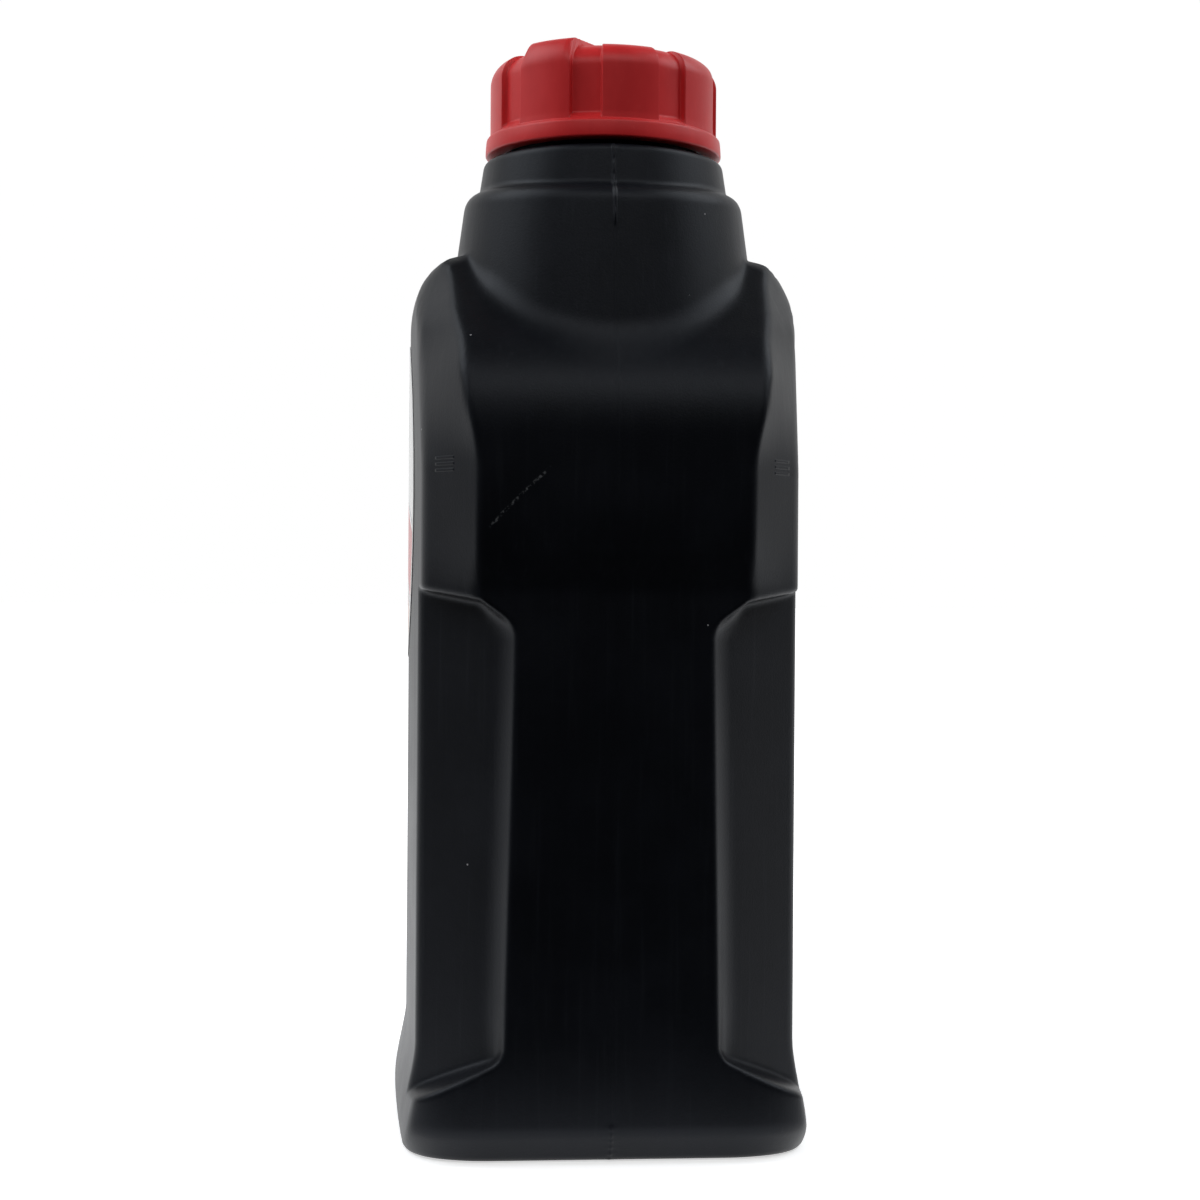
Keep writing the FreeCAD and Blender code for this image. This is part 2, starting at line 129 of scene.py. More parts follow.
def face_arc(x):
    """How far a wide face falls back from its middle: an arc of FACE_RADIUS in plan."""
    return np.sqrt(FACE_RADIUS ** 2 - x * x) - FACE_RADIUS


def corner_band(ax, ay, reach, inner, outer, bulge):
    """Distance outside the flat band that cuts the corner of the plan, from the narrow side
    (reach, inner) to the wide face (outer, its y there)."""
    slope = np.arctan2(reach - outer, bulge + face_arc(outer) - inner)
    c, s = np.cos(slope), np.sin(slope)
    return ax * c + ay * s - (reach * c + inner * s)


def step_mask(ay, z):
    """Distance outside the raised T of a narrow side: foot, middle panel and shoulder."""
    panel = ay - (PANEL_HALF - PANEL_TAPER * (z - LEDGE_Z) / PANEL_HEIGHT)
    ledge = 0.905 * (z - LEDGE_Z + 0.47 * (ay - 19.0))
    rise = np.minimum(BROW_Z + 0.70 * (ay - 17.4), BROW_Z + 4.4 + 0.19 * (ay - 24.0))
    under = 0.93 * (rise - z)
    return soft_min(soft_min(panel, ledge, 2.4), under, 2.4)


def body_field(x, y, z):
    """Distance outside the body, roughly: the smooth maximum of its narrow sides, slopes,
    corner bands and wide faces. Inside the T of the narrow sides that is the full section;
    elsewhere it is the recessed one, and the smooth minimum joins the two. A last smooth
    maximum takes off the chamfer round the base and what is under the table."""
    ax, ay = np.abs(x), np.abs(y)
    lean = (FOOT_REACH + END_LEAN * z + bend(z, SHOULDER_Z, 0.5, 1.4)
            - bend(z, SHOULDER_Z + 4.0, 0.3, 6.0) - bend(z, SHOULDER_Z + 8.6, 0.2236, 8.0))
    near = NEAR_SLOPE[0] * (x - REACH) + NEAR_SLOPE[1] * (z - NEAR_Z)
    far = FAR_SLOPE[0] * (x + REACH) + FAR_SLOPE[1] * (z - FAR_Z)
    side = soft_max(ax - lean, soft_max(near, far, 8.0), 8.4)
    # full section: a rounded foot below, the shoulder with its drawn-in corners above
    high = ease((z - 22.0) / 20.0)
    draw = np.clip((z - 123.0) / 41.2, 0.0, 1.2)
    inner = 28.0 - 4.0 * high + 1.9 * ease((z - 122.0) / 13.0) - 9.5 * ease((z - 138.0) / 24.0)
    outer = 38.6 + 6.4 * high - 16.0 * draw - 8.0 * ease((z - 148.0) / 14.0)
    flare = (FOOT_BULGE - FACE_BULGE) * (1 - ease((z - 3.0) / 17.0))
    band = corner_band(ax, ay, lean, inner, outer, FACE_BULGE + 2.3 * (1 - high))
    face = ay - FACE_BULGE - face_arc(x) - flare
    over = soft_max(face, z - TOP_Z, 11.7)
    edge = 0.9 + 4.5 * ease((z - 122.0) / 20.0) * ease(-x / 20.0)
    upper = soft_max(side, band, 0.9)
    foot = soft_max(ax - lean - 0.4, ay - FOOT_BULGE, 15.0)
    low_down = 1 - ease((z - 21.0) / 6.0)
    full = soft_max(upper + (foot - upper) * low_down, over, edge)
    # recessed corners between the foot and the shoulder
    cut = corner_band(ax, ay, lean - 1.7, 18.2, 39.6, FACE_BULGE)
    low = soft_max(soft_max(ax - lean + 0.5, cut, 0.8), face, 0.8)
    low = soft_max(low, z - 108.0, 1.0)
    mask = step_mask(ay, z)
    tilt = 0.05 + 0.53 * ease((z - 17.0) / 7.0) - 0.56 * ease((z - 93.0) / 6.0)
    wall = (mask + tilt * full) / np.sqrt(1 + tilt * tilt)
    raised = soft_max(full, wall, 0.8)
    body = soft_min(raised, low, 0.04 + 1.0 * ease(-face / 1.5 - 0.1))
    # chamfer round the base
    shift = np.maximum(3.4 * (1 - z / 5.6), -6.0)
    toe = soft_max(ax - FOOT_REACH - 0.4 + shift, ay - FOOT_BULGE + 0.6 * shift, 15.0) * 0.85
    return soft_max(soft_max(body, toe, 0.6), -z, 1.0)


def neck_field(x, y, z):
    """Distance outside the cone, its step and the collar. The step stands 1.6 mm higher
    beside the wide faces than over the parting line."""
    r = np.hypot(x - NECK_X, y) + 1e-6
    cone = 0.991 * (r - CONE_R + CONE_TAPER * (z - CONE_Z))
    step = z - STEP_Z - STEP_LIFT * (y / r) ** 2
    collar = r - COLLAR_R + (z - COLLAR_TOP + 6.5) / 6.5
    cone = soft_max(cone, CONE_Z - z, 2.0)
    collar = soft_max(collar, STEP_Z - 6.0 - z, 2.0)
    return soft_min(soft_max(cone, step, 3.2), soft_max(collar, z - COLLAR_TOP, 1.3), 1.0)


def bottle_field(x, y, z):
    """Distance outside the bottle: the smooth minimum of body and neck, with a fillet of
    2.8 mm over the narrow sides that tightens to 0.9 mm beside the wide faces."""
    beside = ease((np.abs(y) / (np.hypot(x - NECK_X, y) + 1e-6) - 0.72) / 0.22)
    return soft_min(body_field(x, y, z), neck_field(x, y, z), 2.8 - 1.9 * beside)


def cast(theta, foot, inset=0.0):
    """Where rays from the neck's axis come within `inset` of leaving the bottle, by halving
    the interval that holds the change of sign. A ray starts at height `foot`; it is level
    below 102 mm and climbs more from there, up to RAY_TILT at 124 mm."""
    shape = np.broadcast_shapes(theta.shape, foot.shape)
    tilt = RAY_TILT * ease((foot - 102.0) / 22.0)
    across = np.broadcast_to(np.cos(tilt), shape)
    up = np.broadcast_to(np.sin(tilt), shape)
    dx, dy = across * np.cos(theta), across * np.sin(theta)
    inside, outside = np.zeros(shape), np.full(shape, 2 * REACH)
    for _ in range(34):
        t = 0.5 * (inside + outside)
        out = bottle_field(NECK_X + t * dx, t * dy, foot + t * up) + inset > 0
        outside = np.where(out, t, outside)
        inside = np.where(out, inside, t)
    return np.stack([NECK_X + t * dx, t * dy, foot + t * up], axis=-1)


def thread_height(theta, z, foot_z):
    """Height of a right-handed ridge that starts at `foot_z`: a trapezium of the distance
    from the helix, eased to nothing over the first and last 25 degrees of its turns."""
    turn = theta / (2 * math.pi)
    whole = np.round((z - foot_z) / PITCH - turn)
    along = turn + np.clip(whole, np.ceil(-turn), np.floor(TURNS - turn))
    across = np.abs(z - foot_z - PITCH * along)
    run_out = ease(along / 0.07) * ease((TURNS - along) / 0.07)
    return RIDGE * run_out * np.clip((1.05 - across) / 0.65, 0.0, 1.0)


def bottle_points():
    """The whole skin: base from its middle outwards, walls, shoulder, cone, collar, the
    threaded neck, then the bore and the inner wall back to the middle of the base."""
    half = steps((0, 1.2, 4), (1.2, 24.5, 12), (24.5, 36.5, 26), (36.5, 57.5, 15), (57.5, 66.5, 9),
                 (66.5, 108, 10), (108, 145, 23), (145, 153, 14), (153, 161.5, 12), (161.5, 170, 19),
                 (170, 178.8, 7), (178.8, 180, 4))
    theta = np.radians(np.concatenate([half, 360 - half[-2:0:-1]]))[None, :]
    foot = steps((0, 6.6, 15), (6.6, 20.6, 27), (20.6, 92, 17), (92, 104, 27), (104, 122, 54),
                 (122, 149, 36), (149, 167.2, 50))[:, None]
    end = COLLAR_TOP - NECK_R * math.tan(RAY_TILT)
    skin = flash(cast(theta, foot[foot[:, 0] < end - 0.1]))
    # base: a flat ring, then the push-up
    rim = skin[0]
    length = np.linalg.norm(rim, axis=1, keepdims=True)
    push_up = ((1.0, 0), (8.4, 0), (9.0, 0.15), (10.0, 0.7), (11.0, 1.6), (11.8, 2.2), (13.0, 2.4))
    base = [rim * (1 - inset / length) + [0, 0, lift] for inset, lift in push_up]
    flat = base[-1]
    base += [flat * [s, s, 1] for s in (0.6, 0.25, 0.0)]
    # neck: collar top to the lip and down the bore
    up = [(NECK_R, COLLAR_TOP), (NECK_R, 182.3)] + [(NECK_R, z) for z in np.linspace(183, 195.8, 29)]
    up += [(NECK_R, MOUTH_Z - 0.5), (NECK_R - 0.2, MOUTH_Z - 0.15), (NECK_R - 0.5, MOUTH_Z)]
    up += [(BORE_R + 0.3, MOUTH_Z), (BORE_R + 0.05, MOUTH_Z - 0.15), (BORE_R, MOUTH_Z - 0.5)]
    up += [(BORE_R, 188.0), (BORE_R, 181.0)]
    neck = []
    for r, z in up:
        grow = thread_height(theta[0], z, THREAD_Z) if r == NECK_R else 0.0
        neck.append(np.stack([NECK_X + (r + grow) * np.cos(theta[0]), (r + grow) * np.sin(theta[0]),
                              np.full(theta.shape[1], z)], axis=-1))
    # inner wall, the same form one wall further in
    down = [[164.0, 157.0], np.arange(150, 130, -3.0), np.arange(130, 104, -1.7),
            np.arange(102.5, 94, -2.0), [92, 56], np.arange(24.0, 11, -3.0), [8, 5, 2.3]]
    inner = cast(theta, np.concatenate(down)[:, None], WALL)
    flat_part = inner[-1] * [0.75, 0.75, 0]
    floor = [flat_part + [0, 0, 3.7], 0 * flat_part + [0, 0, 3.7]]
    return np.concatenate([np.array(base[::-1]), skin, np.array(neck), inner, np.array(floor)])


def flash(skin):
    """The parting line, moved out along x by a bell curve of y: a hairline bead 0.08 mm
    high down both narrow sides, a fin over the cone's top and the collar whose height is a
    sum of sines of z, and the scar of the pinch-off at the base."""
    x, y, z = skin[..., 0], skin[..., 1], skin[..., 2]
    out = np.stack([np.sign(x - NECK_X), np.zeros_like(x), np.zeros_like(x)], axis=-1)
    bead = 0.08 * np.exp(-(y / 0.3) ** 2)
    uneven = 0.62 + 0.09 * np.sin(2.1 * z) + 0.05 * np.sin(4.7 * z + 1.0)
    fin = uneven * ease((z - 166.0) / 2.0) * ease((182.2 - z) / 0.8) * np.exp(-(y / 0.24) ** 2)
    scar = 0.35 * ease((7.5 - z) / 1.5) * ease((z + 0.2) / 1.0) * np.exp(-(y / 0.5) ** 2)
    side = np.where(np.abs(y) < 3.0, bead + fin + scar * (0.7 + 0.5 * np.sin(5.0 * z)), 0.0)
    return skin + side[..., None] * out


# The lobed cap

CAP_FOOT, CAP_TOP, CEILING = 183.0, 200.75, 198.15
LOBE_R, RECESS, LOBE_TURN = 21.4, 1.0, 9.0
FLANGE_R, FLANGE_EDGE, CAP_BORE = 22.3, 0.4, 18.8
ROUND_WIDE, ROUND_HIGH = 4.5, 4.4
BAR_HALF, BAR_HEIGHT = 4.75, 1.30


def lobe_share(theta):
    """1 over a lobe and 0 between lobes: eight lobes of 29.5 degrees, with steep sides."""
    step = math.pi / 4
    away = np.abs((theta - math.radians(LOBE_TURN) + step / 2) % step - step / 2)
    return ease(0.5 + (math.radians(14.75) - away) / math.radians(1.0))


def bar_share(x, y):
    """1 over the raised bar across the top, 0 beside it."""
    turn = math.radians(-36.0)
    across = np.abs(-x * math.sin(turn) + y * math.cos(turn))
    return ease(0.5 + (BAR_HALF - across) / 0.8)


def cap_points():
    """Ceiling, threaded bore, rim, flange, lobed wall and rounded top, as one path that is
    carried round the neck's axis. Between lobes the wall lies RECESS further in. The top is
    a quarter of an ellipse, and the bar is added to its height and to the crown's."""
    one = steps((-22.5, -15.6, 5), (-15.6, -13.9, 8), (-13.9, 13.9, 16), (13.9, 15.6, 8),
                (15.6, 22.5, 5))[:-1]
    theta = np.radians(np.concatenate([LOBE_TURN + 45.0 * i + one for i in range(8)]))
    cos, sin = np.cos(theta), np.sin(theta)
    share = lobe_share(theta)
    rows = []

    def ring(r, z):
        r, z = np.broadcast_to(r, theta.shape), np.broadcast_to(z, theta.shape)
        rows.append(np.stack([NECK_X + r * cos, r * sin, z], axis=-1))

    for r in (0.0, 6.0, 12.0, 17.6, 18.5):
        ring(r, CEILING)
    ring(CAP_BORE, CEILING - 0.3)
    for z in np.linspace(196.0, 184.2, 30):
        ring(CAP_BORE - thread_height(theta % (2 * math.pi), z, CAP_FOOT + 3.44), z)
    ring(CAP_BORE, CAP_FOOT + 0.4)
    ring(CAP_BORE + 0.3, CAP_FOOT + 0.05)
    ring(CAP_BORE + 0.7, CAP_FOOT)
    # flange with a rounded edge below and above
    ring(FLANGE_R - FLANGE_EDGE, CAP_FOOT)
    for a in np.radians([20, 45, 70, 90]):
        ring(FLANGE_R - FLANGE_EDGE * (1 - math.sin(a)), CAP_FOOT + FLANGE_EDGE * (1 - math.cos(a)))
    ring(FLANGE_R - 0.05, CAP_FOOT + 1.6)
    for a in np.radians([0, 25, 50, 75]):
        ring(LOBE_R + 0.75 * math.cos(a), CAP_FOOT + 2.75 + 0.75 * math.sin(a))
    # wall, from the fillet over the flange to the start of the rounding
    start = CAP_TOP - ROUND_HIGH
    fillet = np.linspace(CAP_FOOT + 3.5, CAP_FOOT + 5.1, 10)
    for z in np.concatenate([fillet, [189.5, 191.5, 193.5, 195.3, start]]):
        foot = ease((z - CAP_FOOT - 3.4) / 1.5)
        ring(LOBE_R + 0.05 - 0.05 * foot - RECESS * foot * (1 - share), z)
    # rounded top, then the crown with its bar
    for s in np.linspace(0.0, 1.0, 19)[1:]:
        a = 0.5 * math.pi * s
        fade = 1 - 0.75 * ease((s - 0.35) / 0.65)
        dip = 0.45 * (1 - share) * ease(s / 0.7) * (1 - ease((s - 0.7) / 0.5))
        r = LOBE_R - ROUND_WIDE * (1 - math.cos(a)) - RECESS * fade * (1 - share)
        z = start + ROUND_HIGH * math.sin(a) - dip
        bar = bar_share(r * cos, r * sin)
        ring(r + 0.3 * bar * ease(s / 0.35) * (1 - s), z + BAR_HEIGHT * bar * ease((s - 0.1) / 0.6))
    for r in np.linspace(16.5, 0.0, 42):
        ring(r, CAP_TOP - 0.05 * (r / 16.8) ** 2 + BAR_HEIGHT * bar_share(r * cos, r * sin))
    return np.array(rows)


# Labels, foil and wad

LABEL_Z, LABEL_HALF = 118.6, (28.0, 30.6)
FILM, GLUE = 0.15, 0.04


def label_points(side):
    """An oval film that lies on the arc of a wide face. Each row's half length is that of
    the ellipse at its height. A row runs over the outer side and back over the inner side,
    and the film thins to nothing at its top and bottom."""
    turn = np.linspace(-0.5 * math.pi, 0.5 * math.pi, 61)
    u = np.sin(np.linspace(-0.5 * math.pi, 0.5 * math.pi, 41))
    loop = np.concatenate([u, u[::-1]])
    outer = np.concatenate([np.ones(41), np.zeros(41)])
    x = LABEL_HALF[0] * np.cos(turn)[:, None] * loop[None, :]
    z = np.broadcast_to(LABEL_Z + LABEL_HALF[1] * np.sin(turn)[:, None], x.shape)
    rim = np.minimum(1.0, np.cos(turn) / 0.1)[:, None]
    y = FACE_BULGE + face_arc(x) + GLUE + FILM * outer[None, :] * rim
    points = np.stack([x, side * y, z], axis=-1)
    return points if side < 0 else points[:, ::-1]


def disc_points(radius, low, high):
    """A thin turned disc: the path runs from the middle of its underside, round a rim that
    is half a circle, to the middle of its top."""
    theta = np.radians(np.arange(0, 360, 3.0))
    half = (high - low) / 2
    path = [(0.0, low), (radius * 0.5, low), (radius - half, low)]
    path += [(radius - half + half * math.sin(a), (low + high) / 2 - half * math.cos(a))
             for a in np.radians([30, 60, 90, 120, 150])]
    path += [(radius * s, high) for s in (0.97, 0.8, 0.6, 0.4, 0.2, 0.0)]
    r, z = np.array(path).T[..., None]
    return np.stack([NECK_X + r * np.cos(theta), r * np.sin(theta), z + 0 * theta], axis=-1)


# Finishes


class Reading:
    """A value that varies over a surface: one output socket of a node tree, with arithmetic."""

    def __init__(self, nodes, socket):
        self.nodes, self.socket = nodes, socket

    def maths(self, operation, first, second=0.0):
        return self.nodes.node("ShaderNodeMath", {"operation": operation}, {0: first, 1: second})

    def __add__(self, other):
        return self.maths("ADD", self, other)

    def __radd__(self, other):
        return self.maths("ADD", other, self)

    def __sub__(self, other):
        return self.maths("SUBTRACT", self, other)

    def __rsub__(self, other):
        return self.maths("SUBTRACT", other, self)

    def __mul__(self, other):
        return self.maths("MULTIPLY", self, other)

    def __rmul__(self, other):
        return self.maths("MULTIPLY", other, self)

    def __pow__(self, other):
        return self.maths("POWER", self, other)

    def __gt__(self, other):
        return self.maths("GREATER_THAN", self, other)

    def __lt__(self, other):
        return self.maths("LESS_THAN", self, other)

    def __abs__(self):
        return self.maths("ABSOLUTE", self)

    def ramp(self, low, high):
        """0 at low, 1 at high, eased in between."""
        return self.nodes.node("ShaderNodeMapRange", {"interpolation_type": "SMOOTHSTEP"},
                               {"Value": self, "From Min": low, "From Max": high})


class Nodes:
    """A node tree and the way in which nodes are put into it."""

    def __init__(self, tree):
        self.tree = tree
        tree.nodes.clear()

    def node(self, kind, settings, sockets, out=0):
        """A node of this kind: its settings first, then the values or links of its sockets."""
        made = self.tree.nodes.new(kind)
        for key, value in settings.items():
            if key == "curve":
                points = made.mapping.curves[0].points
                for at, height in value[1:-1]:
                    points.new(at, height)
                points[0].location, points[-1].location = value[0], value[-1]
                made.mapping.update()
            else:
                setattr(made, key, value)
        for key, value in sockets.items():
            if isinstance(value, Reading):
                self.tree.links.new(value.socket, made.inputs[key])
            else:
                made.inputs[key].default_value = value
        return Reading(self, made.outputs[out])

    def split(self, vector):
        """The x, y and z of a vector."""
        return [self.node("ShaderNodeSeparateXYZ", {}, {"Vector": vector}, i) for i in range(3)]

    def end(self, kind, shader):
        """The tree's output node, fed by a shader."""
        out = self.tree.nodes.new(kind)
        self.tree.links.new(shader.socket, out.inputs["Surface"])


class Finish(Nodes):
    """A material built node by node on a Principled shader, in the object's coordinates."""

    def __init__(self, name):
        self.material = bpy.data.materials.new(name)
        self.material.use_nodes = True
        super().__init__(self.material.node_tree)
        self.place = self.node("ShaderNodeTexCoord", {}, {}, "Object")
        self.x, self.y, self.z = self.split(self.place)

    def noise(self, scale, detail=2.0, roughness=0.5, stretch=(1.0, 1.0, 1.0)):
        """Soft noise from 0 to 1; the scale is features a metre, the stretch multiplies it."""
        place = self.node("ShaderNodeMapping", {}, {"Vector": self.place, "Scale": stretch})
        return self.node("ShaderNodeTexNoise", {}, {"Vector": place, "Scale": scale, "Detail": detail,
                                                    "Roughness": roughness})

    def from_neck(self):
        """Distance from the neck's axis."""
        dx = self.x - NECK_X * MM
        return (dx * dx + self.y * self.y) ** 0.5

    def specks(self, scale, size, keep):
        """1 on small round specks: cells whose centre is near, of which the share `keep` has one."""
        near = self.node("ShaderNodeTexVoronoi", {}, {"Vector": self.place, "Scale": scale}, "Distance")
        pick = self.node("ShaderNodeTexVoronoi", {}, {"Vector": self.place, "Scale": scale}, "Color")
        chance = self.node("ShaderNodeSeparateColor", {}, {"Color": pick}, 0)
        return (near < size * scale) * (chance < keep)

    def colour(self, a, b, factor):
        """Colour a where the factor is 0, b where it is 1."""
        a = a if isinstance(a, Reading) else (*a, 1.0)
        b = b if isinstance(b, Reading) else (*b, 1.0)
        return self.node("ShaderNodeMix", {"data_type": "RGBA"}, {0: factor, 6: a, 7: b}, 2)

    def bumps(self, *layers):
        """Normal from heights in metres, laid over each other."""
        normal = None
        for height, strength in layers:
            sockets = {"Height": height, "Distance": 1.0, "Strength": strength}
            if normal is not None:
                sockets["Normal"] = normal
            normal = self.node("ShaderNodeBump", {}, sockets)
        return normal

    def done(self, **sockets):
        """The finished material; a socket's name has an underline for each space."""
        sockets = {key.replace("_", " "): value for key, value in sockets.items()}
        self.end("ShaderNodeOutputMaterial", self.node("ShaderNodeBsdfPrincipled", {}, sockets))
        return self.material


def bottle_plastic():
    """Near-black satin polyethylene: fine moulded grain, slow waves of the blown wall,
    vertical drag marks, a few specks of dust and one dry scuff."""
    f = Finish("black blown plastic")
    grain = f.noise(2600.0, 3.0, 0.6)
    waves = f.noise(38.0, 2.0, 0.45, (1.0, 1.0, 0.35))
    drag = f.noise(900.0, 3.0, 0.6, (1.0, 1.0, 0.03))
    cloud = f.noise(60.0, 3.0, 0.55)
    dust = f.specks(260.0, 0.00016, 0.05) + f.specks(120.0, 0.00020, 0.04)
    # the scuff: a broken line that runs up to the right, a little wavy
    sideways, upwards = f.y + 0.01705, f.z - 0.1173
    along = sideways * 0.711 + upwards * 0.703
    across = sideways * -0.703 + upwards * 0.711 + (f.noise(160.0) - 0.5) * 0.0012
    broken = f.noise(1500.0, 2.0).ramp(0.45, 0.62)
    scuff = abs(across).ramp(0.00035, 0.0001) * abs(along).ramp(0.0078, 0.0060) * (f.x > 0.05) * broken
    colour = f.colour((0.0028, 0.0034, 0.0052), (0.0047, 0.0055, 0.0080), cloud.ramp(0.35, 0.7))
    colour = f.colour(colour, (0.0088, 0.0100, 0.0130), drag.ramp(0.55, 0.8) * 0.6)
    colour = f.colour(colour, (0.09, 0.095, 0.10), scuff)
    colour = f.colour(colour, (0.35, 0.35, 0.36), dust)
    rough = 0.43 + 0.10 * (cloud - 0.5) + 0.10 * (drag - 0.5) + 0.2 * scuff + 0.3 * dust
    marks = emboss(f)
    normal = f.bumps((waves * 0.00022, 1.0), (drag * 0.000006, 1.0), (grain * 0.000028, 1.0),
                     (marks * 0.00018, 1.0))
    return f.done(Base_Color=colour, Roughness=rough, Normal=normal, IOR=1.5, Specular_IOR_Level=0.18,
                  Specular_Tint=(0.86, 0.91, 1.0, 1.0))


def emboss(f):
    """A tally of three short moulded bars on each shoulder band beside the neck: narrow
    bands of z, kept where |y| is near the band's middle."""
    inside = abs(abs(f.y) - 0.0300).ramp(0.0017, 0.0014) * (f.x > 0.045)
    low, middle, high = (abs(f.z - z).ramp(0.00032, 0.00012) for z in (0.1222, 0.1233, 0.1244))
    return inside * (low + middle + high)


def cap_plastic():
    """Satin red polypropylene: fine grain, mould flow seen as faint clouds, small lighter
    patches at random and a speck or two."""
    f = Finish("red moulded plastic")
    grain = f.noise(3200.0, 3.0, 0.6)
    flow = f.noise(110.0, 4.0, 0.6, (1.0, 1.0, 0.4))
    fine = f.noise(700.0, 3.0, 0.6)
    dust = f.specks(300.0, 0.00015, 0.03)
    colour = f.colour((0.62, 0.017, 0.019), (0.72, 0.027, 0.029), flow.ramp(0.3, 0.7))
    colour = f.colour(colour, (0.78, 0.07, 0.075), fine.ramp(0.62, 0.8) * 0.35)
    colour = f.colour(colour, (0.75, 0.55, 0.55), dust)
    rough = 0.42 + 0.12 * (flow - 0.5) + 0.08 * (fine - 0.5)
    normal = f.bumps((flow * 0.00005, 1.0), (grain * 0.000012, 1.0))
    return f.done(Base_Color=colour, Roughness=rough, Normal=normal, IOR=1.5, Specular_IOR_Level=0.32)


def label_film():
    """Printed film in plain fields of colour: a white oval with a grey border line, a warm
    lower field under a slanted red one between thin grey lines, and two grey rings. Each
    field is a band of the slant, of the distance from the rings' middle or of the oval."""
    f = Finish("printed label film")
    x, z = f.x, f.z - LABEL_Z * MM
    oval = (x * x * (1 / (LABEL_HALF[0] * MM) ** 2) + z * z * (1 / (LABEL_HALF[1] * MM) ** 2)) ** 0.5
    slant = z + 0.006 + 0.30 * x
    edge = 0.0001
    red = (slant + 0.0070).ramp(-edge, edge) * (0.0070 - slant).ramp(-edge, edge)
    line = abs(abs(slant) - 0.0086).ramp(0.0006, 0.0005)
    warm = (-0.0100 - slant).ramp(-edge, edge)
    radius = (x * x + (z - 0.0155) * (z - 0.0155)) ** 0.5
    ring = abs(radius - 0.0072).ramp(0.0009, 0.0008) + abs(radius - 0.0044).ramp(0.0005, 0.0004)
    border = abs(oval - 0.945).ramp(0.011, 0.009)
    margin = (oval - 0.945).ramp(-0.001, 0.001)
    white = (0.80, 0.79, 0.77)
    ground = f.colour(white, (0.66, 0.44, 0.38), warm)
    ground = f.colour(ground, (0.50, 0.035, 0.04), red)
    ground = f.colour(ground, (0.30, 0.30, 0.32), line)
    ground = f.colour(ground, (0.25, 0.26, 0.29), ring)
    ground = f.colour(ground, white, margin)
    ground = f.colour(ground, (0.35, 0.35, 0.37), border)
    weave = f.noise(4200.0, 2.0)
    ripple = f.noise(46.0, 2.0)
    rough = 0.34 + 0.12 * (f.noise(90.0, 3.0) - 0.5)
    return f.done(Base_Color=ground, Roughness=rough, IOR=1.48, Coat_Weight=0.25, Coat_Roughness=0.2,
                  Normal=f.bumps((ripple * 0.00006, 1.0), (weave * 0.000004, 1.0)))


def foil_metal():
    """Rolled aluminium over the mouth: fine rolling lines and a pressed ring."""
    f = Finish("rolled foil")
    lines = f.noise(2400.0, 3.0, 0.6, (0.05, 1.0, 1.0))
    press = abs(f.from_neck() - 0.0162).ramp(0.0010, 0.0003)
    crease = f.noise(130.0, 3.0, 0.5)
    colour = f.colour((0.78, 0.78, 0.79), (0.66, 0.66, 0.68), press * 0.5)
    return f.done(Base_Color=colour, Metallic=1.0, Roughness=0.28 + 0.15 * lines,
                  Normal=f.bumps((crease * 0.00012, 1.0), (lines * 0.00001, 1.0), (press * 0.0001, 1.0)))


def wad_foam():
    """Pale foamed wad: closed pores, and the ring that the mouth has pressed into it."""
    f = Finish("foamed wad")
    pores = f.node("ShaderNodeTexVoronoi", {}, {"Vector": f.place, "Scale": 2600.0}, "Distance")
    press = abs(f.from_neck() - 0.0165).ramp(0.0014, 0.0007)
    cloud = f.noise(300.0, 3.0)
    colour = f.colour((0.80, 0.79, 0.74), (0.70, 0.68, 0.62), cloud.ramp(0.3, 0.75))
    colour = f.colour(colour, (0.60, 0.57, 0.50), press * 0.6)
    return f.done(Base_Color=colour, Roughness=0.6 + 0.2 * cloud,
                  Normal=f.bumps((pores * 0.00004, 1.0), (press * -0.0001, 1.0)))


# Pieces

piece("oil_bottle", bottle_points(), "bottle", "bottle", bottle_plastic())
piece("lobed_cap", cap_points(), "cap", "cap", cap_plastic())
film = label_film()
piece("label_front", label_points(-1), "bottle", "front_label", film)
piece("label_back", label_points(1), "bottle", "back_label", film)
piece("mouth_foil", disc_points(17.2, MOUTH_Z, MOUTH_Z + 0.15), "bottle", "foil_seal", foil_metal())
wad = disc_points(18.5, MOUTH_Z + 0.16, CEILING - 0.01)
piece("pressed_wad", wad, "liner", "cap_liner", wad_foam())

# The studio


def studio_floor():
    """A pale floor round and behind the object. In front of the object it is painted dark to
    every ray but the camera's: painted shade for a dark room. To the camera it glows white,
    more strongly further out, as painted light where the lamps fall off, and its diffuse part
    keeps the object's shadow. Glossy rays see it glow behind the dark front, a painted
    reflection of a lit floor."""
    mesh = bpy.data.meshes.new("floor")
    half = 30.0
    corners = [(-half, -half, 0), (half, -half, 0), (half, half, 0), (-half, half, 0)]
    mesh.from_pydata(corners, [], [(0, 1, 2, 3)])
    made = bpy.data.objects.new("floor", mesh)
    bpy.context.scene.collection.objects.link(made)
    f = Finish("pale floor")
    seen = f.node("ShaderNodeLightPath", {}, {}, "Is Camera Ray")
    radius = (f.x * f.x + f.y * f.y) ** 0.5
    # Painted shade: in front of the object the floor is dark to every ray but the camera's.
    front = (f.x - 0.060).ramp(0.0, 0.03)
    paint = f.colour((0.86, 0.86, 0.86), (0.03, 0.03, 0.03), front * (1 - seen))
    diffuse = f.node("ShaderNodeBsdfDiffuse", {}, {"Color": paint})
    # Painted light: the floor glows to the camera, more strongly further out. It also glows to glossy
    # rays behind the dark front, as a painted reflection.
    white = 0.58 + 0.50 * radius.ramp(0.10, 0.40)
    mirrored = f.node("ShaderNodeLightPath", {}, {}, "Is Glossy Ray") * (1 - front) * 0.95
    glow = f.node("ShaderNodeEmission", {}, {"Color": (1, 1, 1, 1), "Strength": seen * white + mirrored})
    both = f.node("ShaderNodeAddShader", {}, {0: diffuse, 1: glow})
    f.end("ShaderNodeOutputMaterial", both)
    mesh.materials.append(f.material)


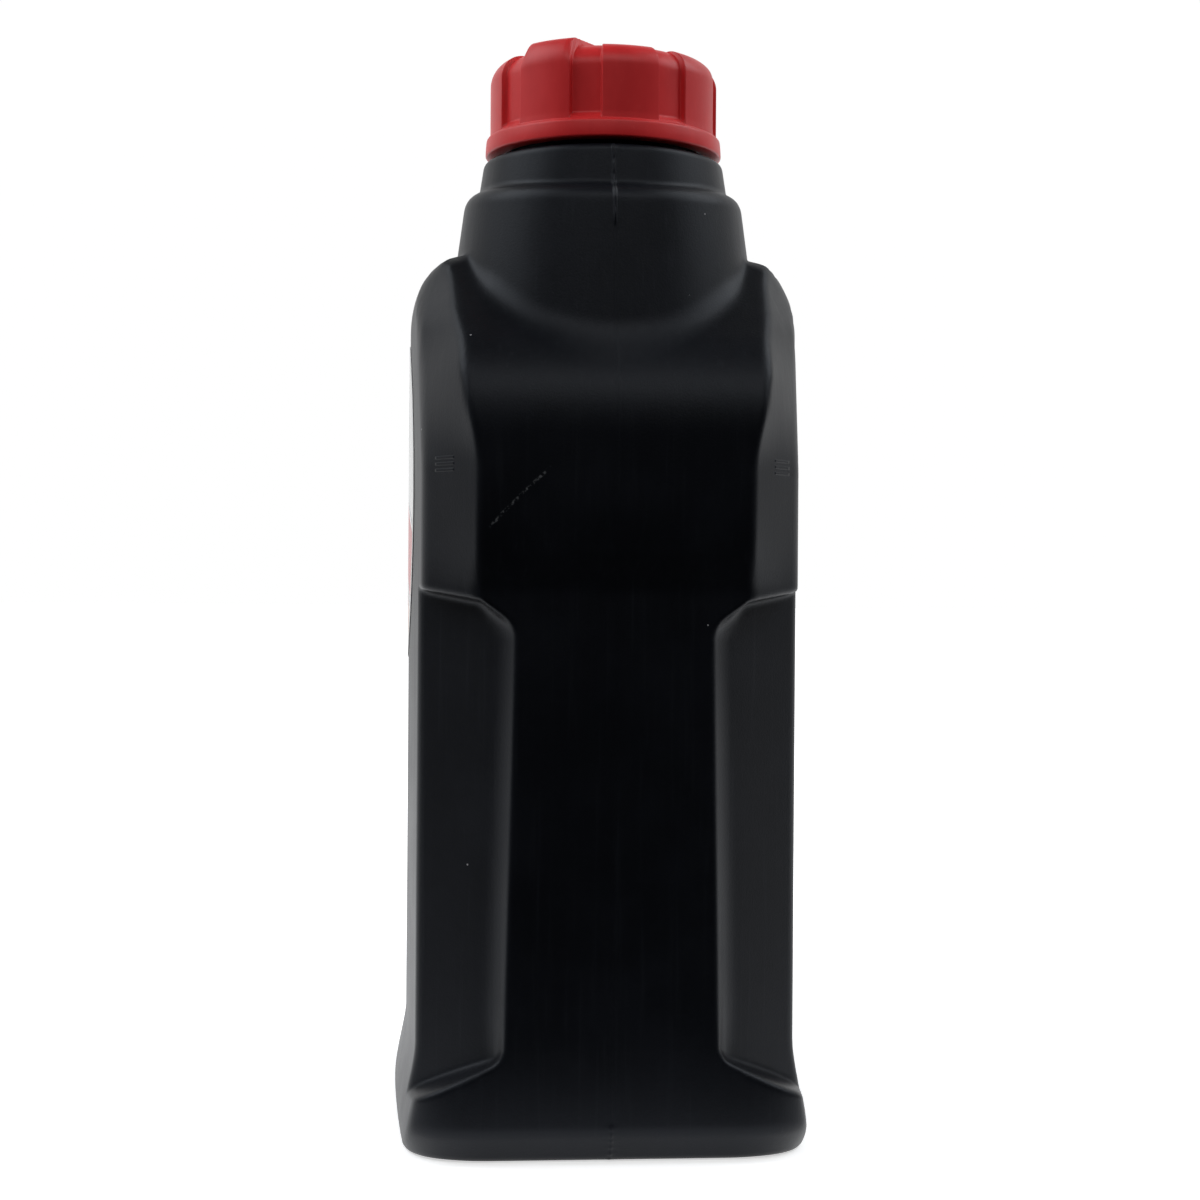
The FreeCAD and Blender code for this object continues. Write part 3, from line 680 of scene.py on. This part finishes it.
def softbox(name, place, aim, width, height, power, tint=(1.0, 1.0, 1.0)):
    """A rectangular studio lamp at `place`, facing `aim`."""
    data = bpy.data.lights.new(name, "AREA")
    data.shape, data.size, data.size_y, data.energy = "RECTANGLE", width, height, power
    data.color = tint
    lamp = bpy.data.objects.new(name, data)
    lamp.location = place
    lamp.rotation_euler = (Vector(aim) - Vector(place)).to_track_quat("-Z", "Y").to_euler()
    bpy.context.scene.collection.objects.link(lamp)


def studio_world():
    """White to the camera. To everything else it falls from white behind the object to
    dim in front of it, along a curve of how far forward and how far up or down it looks."""
    world = bpy.data.worlds.new("studio")
    world.use_nodes = True
    bpy.context.scene.world = world
    sky = Nodes(world.node_tree)
    forward, _, up = sky.split(sky.node("ShaderNodeTexCoord", {}, {}, "Generated"))
    fall = ((0.0, 1.0), (0.15, 0.98), (0.28, 0.64), (0.44, 0.24), (0.60, 0.10), (1.0, 0.04))
    look = 0.5 + 0.5 * forward + 0.25 * (up * up)
    room = sky.node("ShaderNodeFloatCurve", {"curve": fall}, {"Value": look})
    seen = sky.node("ShaderNodeLightPath", {}, {}, "Is Camera Ray")
    light = seen.maths("MAXIMUM", seen, room)
    glow = sky.node("ShaderNodeBackground", {}, {"Color": (1, 1, 1, 1), "Strength": light})
    sky.end("ShaderNodeOutputWorld", glow)


def photo_camera():
    """Level camera on the narrow side, turned a little towards the front label round the
    neck's axis, and rolled a little."""
    distance, height, turn, roll = 0.420, 0.0995, math.radians(4.8), math.radians(0.4)
    data = bpy.data.cameras.new("camera")
    data.lens, data.sensor_width = 66.35, 36.0
    data.clip_start, data.clip_end = 0.01, 100.0
    cam = bpy.data.objects.new("camera", data)
    back = Vector((math.cos(turn), -math.sin(turn), 0.0))
    cam.location = Vector((NECK_X * MM, 0.0, height)) + back * distance
    level = (-back).to_track_quat("-Z", "Y").to_matrix()
    cam.rotation_euler = (level @ Matrix.Rotation(roll, 3, "Z")).to_euler()
    bpy.context.scene.collection.objects.link(cam)
    bpy.context.scene.camera = cam


studio_floor()
studio_world()
COOL, AIM = (0.92, 0.96, 1.0), (0.0, 0.0, 0.14)
softbox("left box", (0.0, -0.90, 0.95), AIM, 0.9, 0.8, 7.8, COOL)
softbox("right box", (0.0, 0.90, 0.95), AIM, 0.9, 0.8, 6.8, COOL)
softbox("front box", (0.86, 0.0, 0.98), (0.02, 0.0, 0.13), 1.4, 0.4, 4.6)
photo_camera()
bpy.context.scene.view_settings.view_transform = "Standard"
